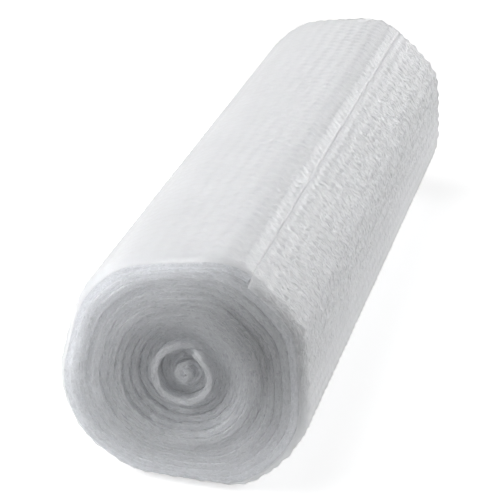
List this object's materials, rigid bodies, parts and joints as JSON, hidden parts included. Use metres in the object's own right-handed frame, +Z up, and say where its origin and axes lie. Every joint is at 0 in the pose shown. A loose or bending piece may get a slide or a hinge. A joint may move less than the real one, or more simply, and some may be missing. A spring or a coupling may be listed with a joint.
{
  "type": "bubble wrap roll",
  "caption": "Soft coreless roll of clear bubble film, lying on its side on a small flat, with a dished end and a raised inner turn.",
  "frame": {"origin": "on the floor, under the middle of the roll's bounding box", "axes": "+Z up, +Y along the roll from the open end that the picture shows to the far end, +X to the right as seen from the open end"},
  "size_m": [0.162, 0.6, 0.1555],
  "materials": {
    "bubble_film": "clear glossy polyethylene film with air bubbles, milky white where many turns lie on each other"
  },
  "bodies": {
    "root": {"bubble_wrap_roll": "bubble_film"}
  },
  "joints": []
}
